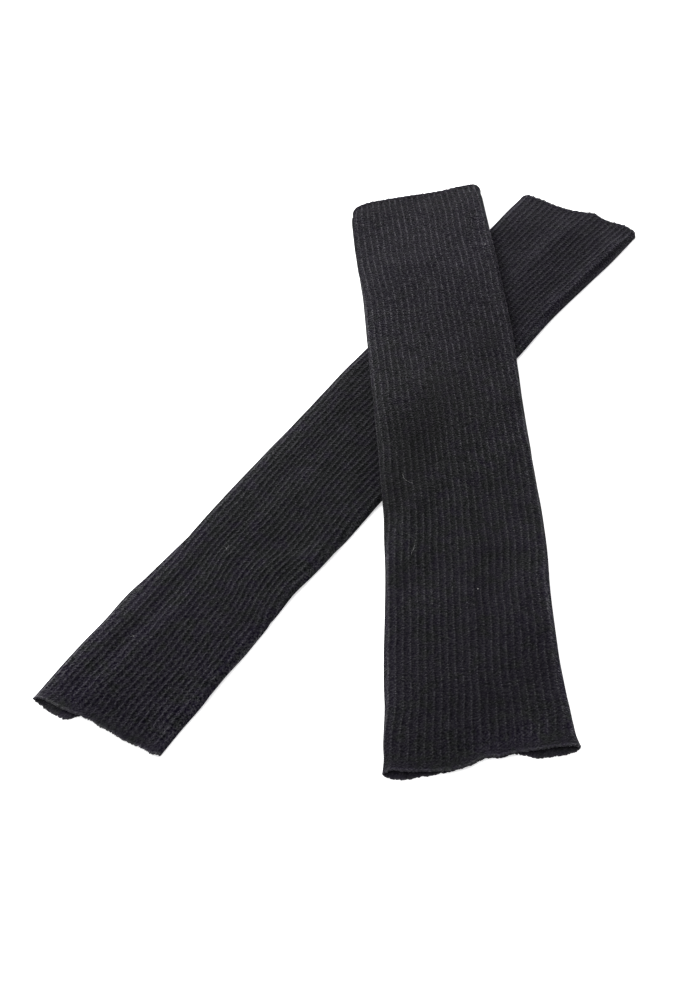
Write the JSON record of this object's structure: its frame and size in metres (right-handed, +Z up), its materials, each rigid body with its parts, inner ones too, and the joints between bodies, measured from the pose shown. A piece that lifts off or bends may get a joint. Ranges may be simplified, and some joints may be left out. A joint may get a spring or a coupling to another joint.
{
  "type": "pair of arm warmers",
  "caption": "Long straight rib-knit tubes, open at both ends, pressed flat and laid crossed on a surface; each is pulled over a forearm to warm it.",
  "frame": {"origin": "centre of the pair's bounding box, on the surface they lie on", "axes": "+Z up from the surface; +Y away from the viewer, nearly along the upper warmer towards its far end; +X to the viewer's right"},
  "size_m": [0.3807, 0.4797, 0.01],
  "materials": {
    "rib_knit": "matte black rib knit with a faint fuzz"
  },
  "bodies": {
    "root": {"lower_warmer": "rib_knit", "upper_warmer": "rib_knit"}
  },
  "joints": []
}
